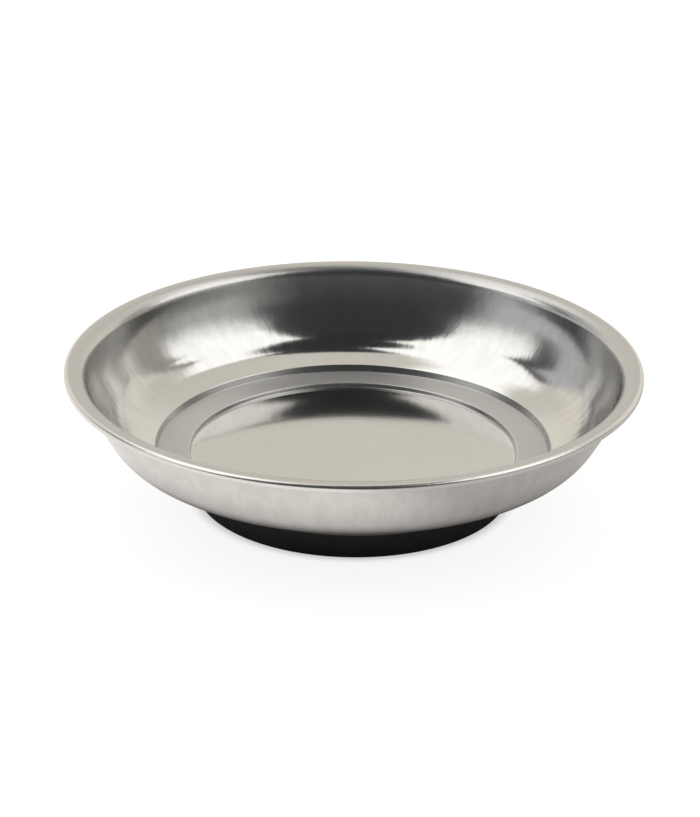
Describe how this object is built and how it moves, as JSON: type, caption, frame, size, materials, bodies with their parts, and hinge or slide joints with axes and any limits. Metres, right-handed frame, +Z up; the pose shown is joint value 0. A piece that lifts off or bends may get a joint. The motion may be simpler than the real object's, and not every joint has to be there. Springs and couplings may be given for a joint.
{
  "type": "magnetic parts tray",
  "caption": "Round stainless steel dish with a flanged rim and a stepped floor, held on a rubber-booted ring magnet, for keeping small steel parts together.",
  "frame": {"origin": "on the tray's axis, in the plane of the rubber boot's underside, which stands on the bench", "axes": "+Z up out of the dish along its axis; the dish is round, so +X and +Y are equal"},
  "size_m": [0.15, 0.15, 0.0357],
  "materials": {
    "stainless": "bright satin stainless sheet, polished inside",
    "rubber": "matt black moulded rubber",
    "ferrite": "ground charcoal-grey sintered ferrite",
    "foam": "matt black adhesive foam",
    "zinc_steel": "bright zinc-plated steel",
    "fibre": "matt red vulcanised fibre"
  },
  "bodies": {
    "root": {"dish": "stainless", "rubber_boot": "rubber", "ring_magnet": "ferrite", "foam_ring": "foam", "clamp_plate": "zinc_steel", "weld_stud": "zinc_steel", "spacer_washer": "fibre", "flat_washer": "zinc_steel", "spring_washer": "zinc_steel", "hex_nut": "zinc_steel"}
  },
  "joints": []
}
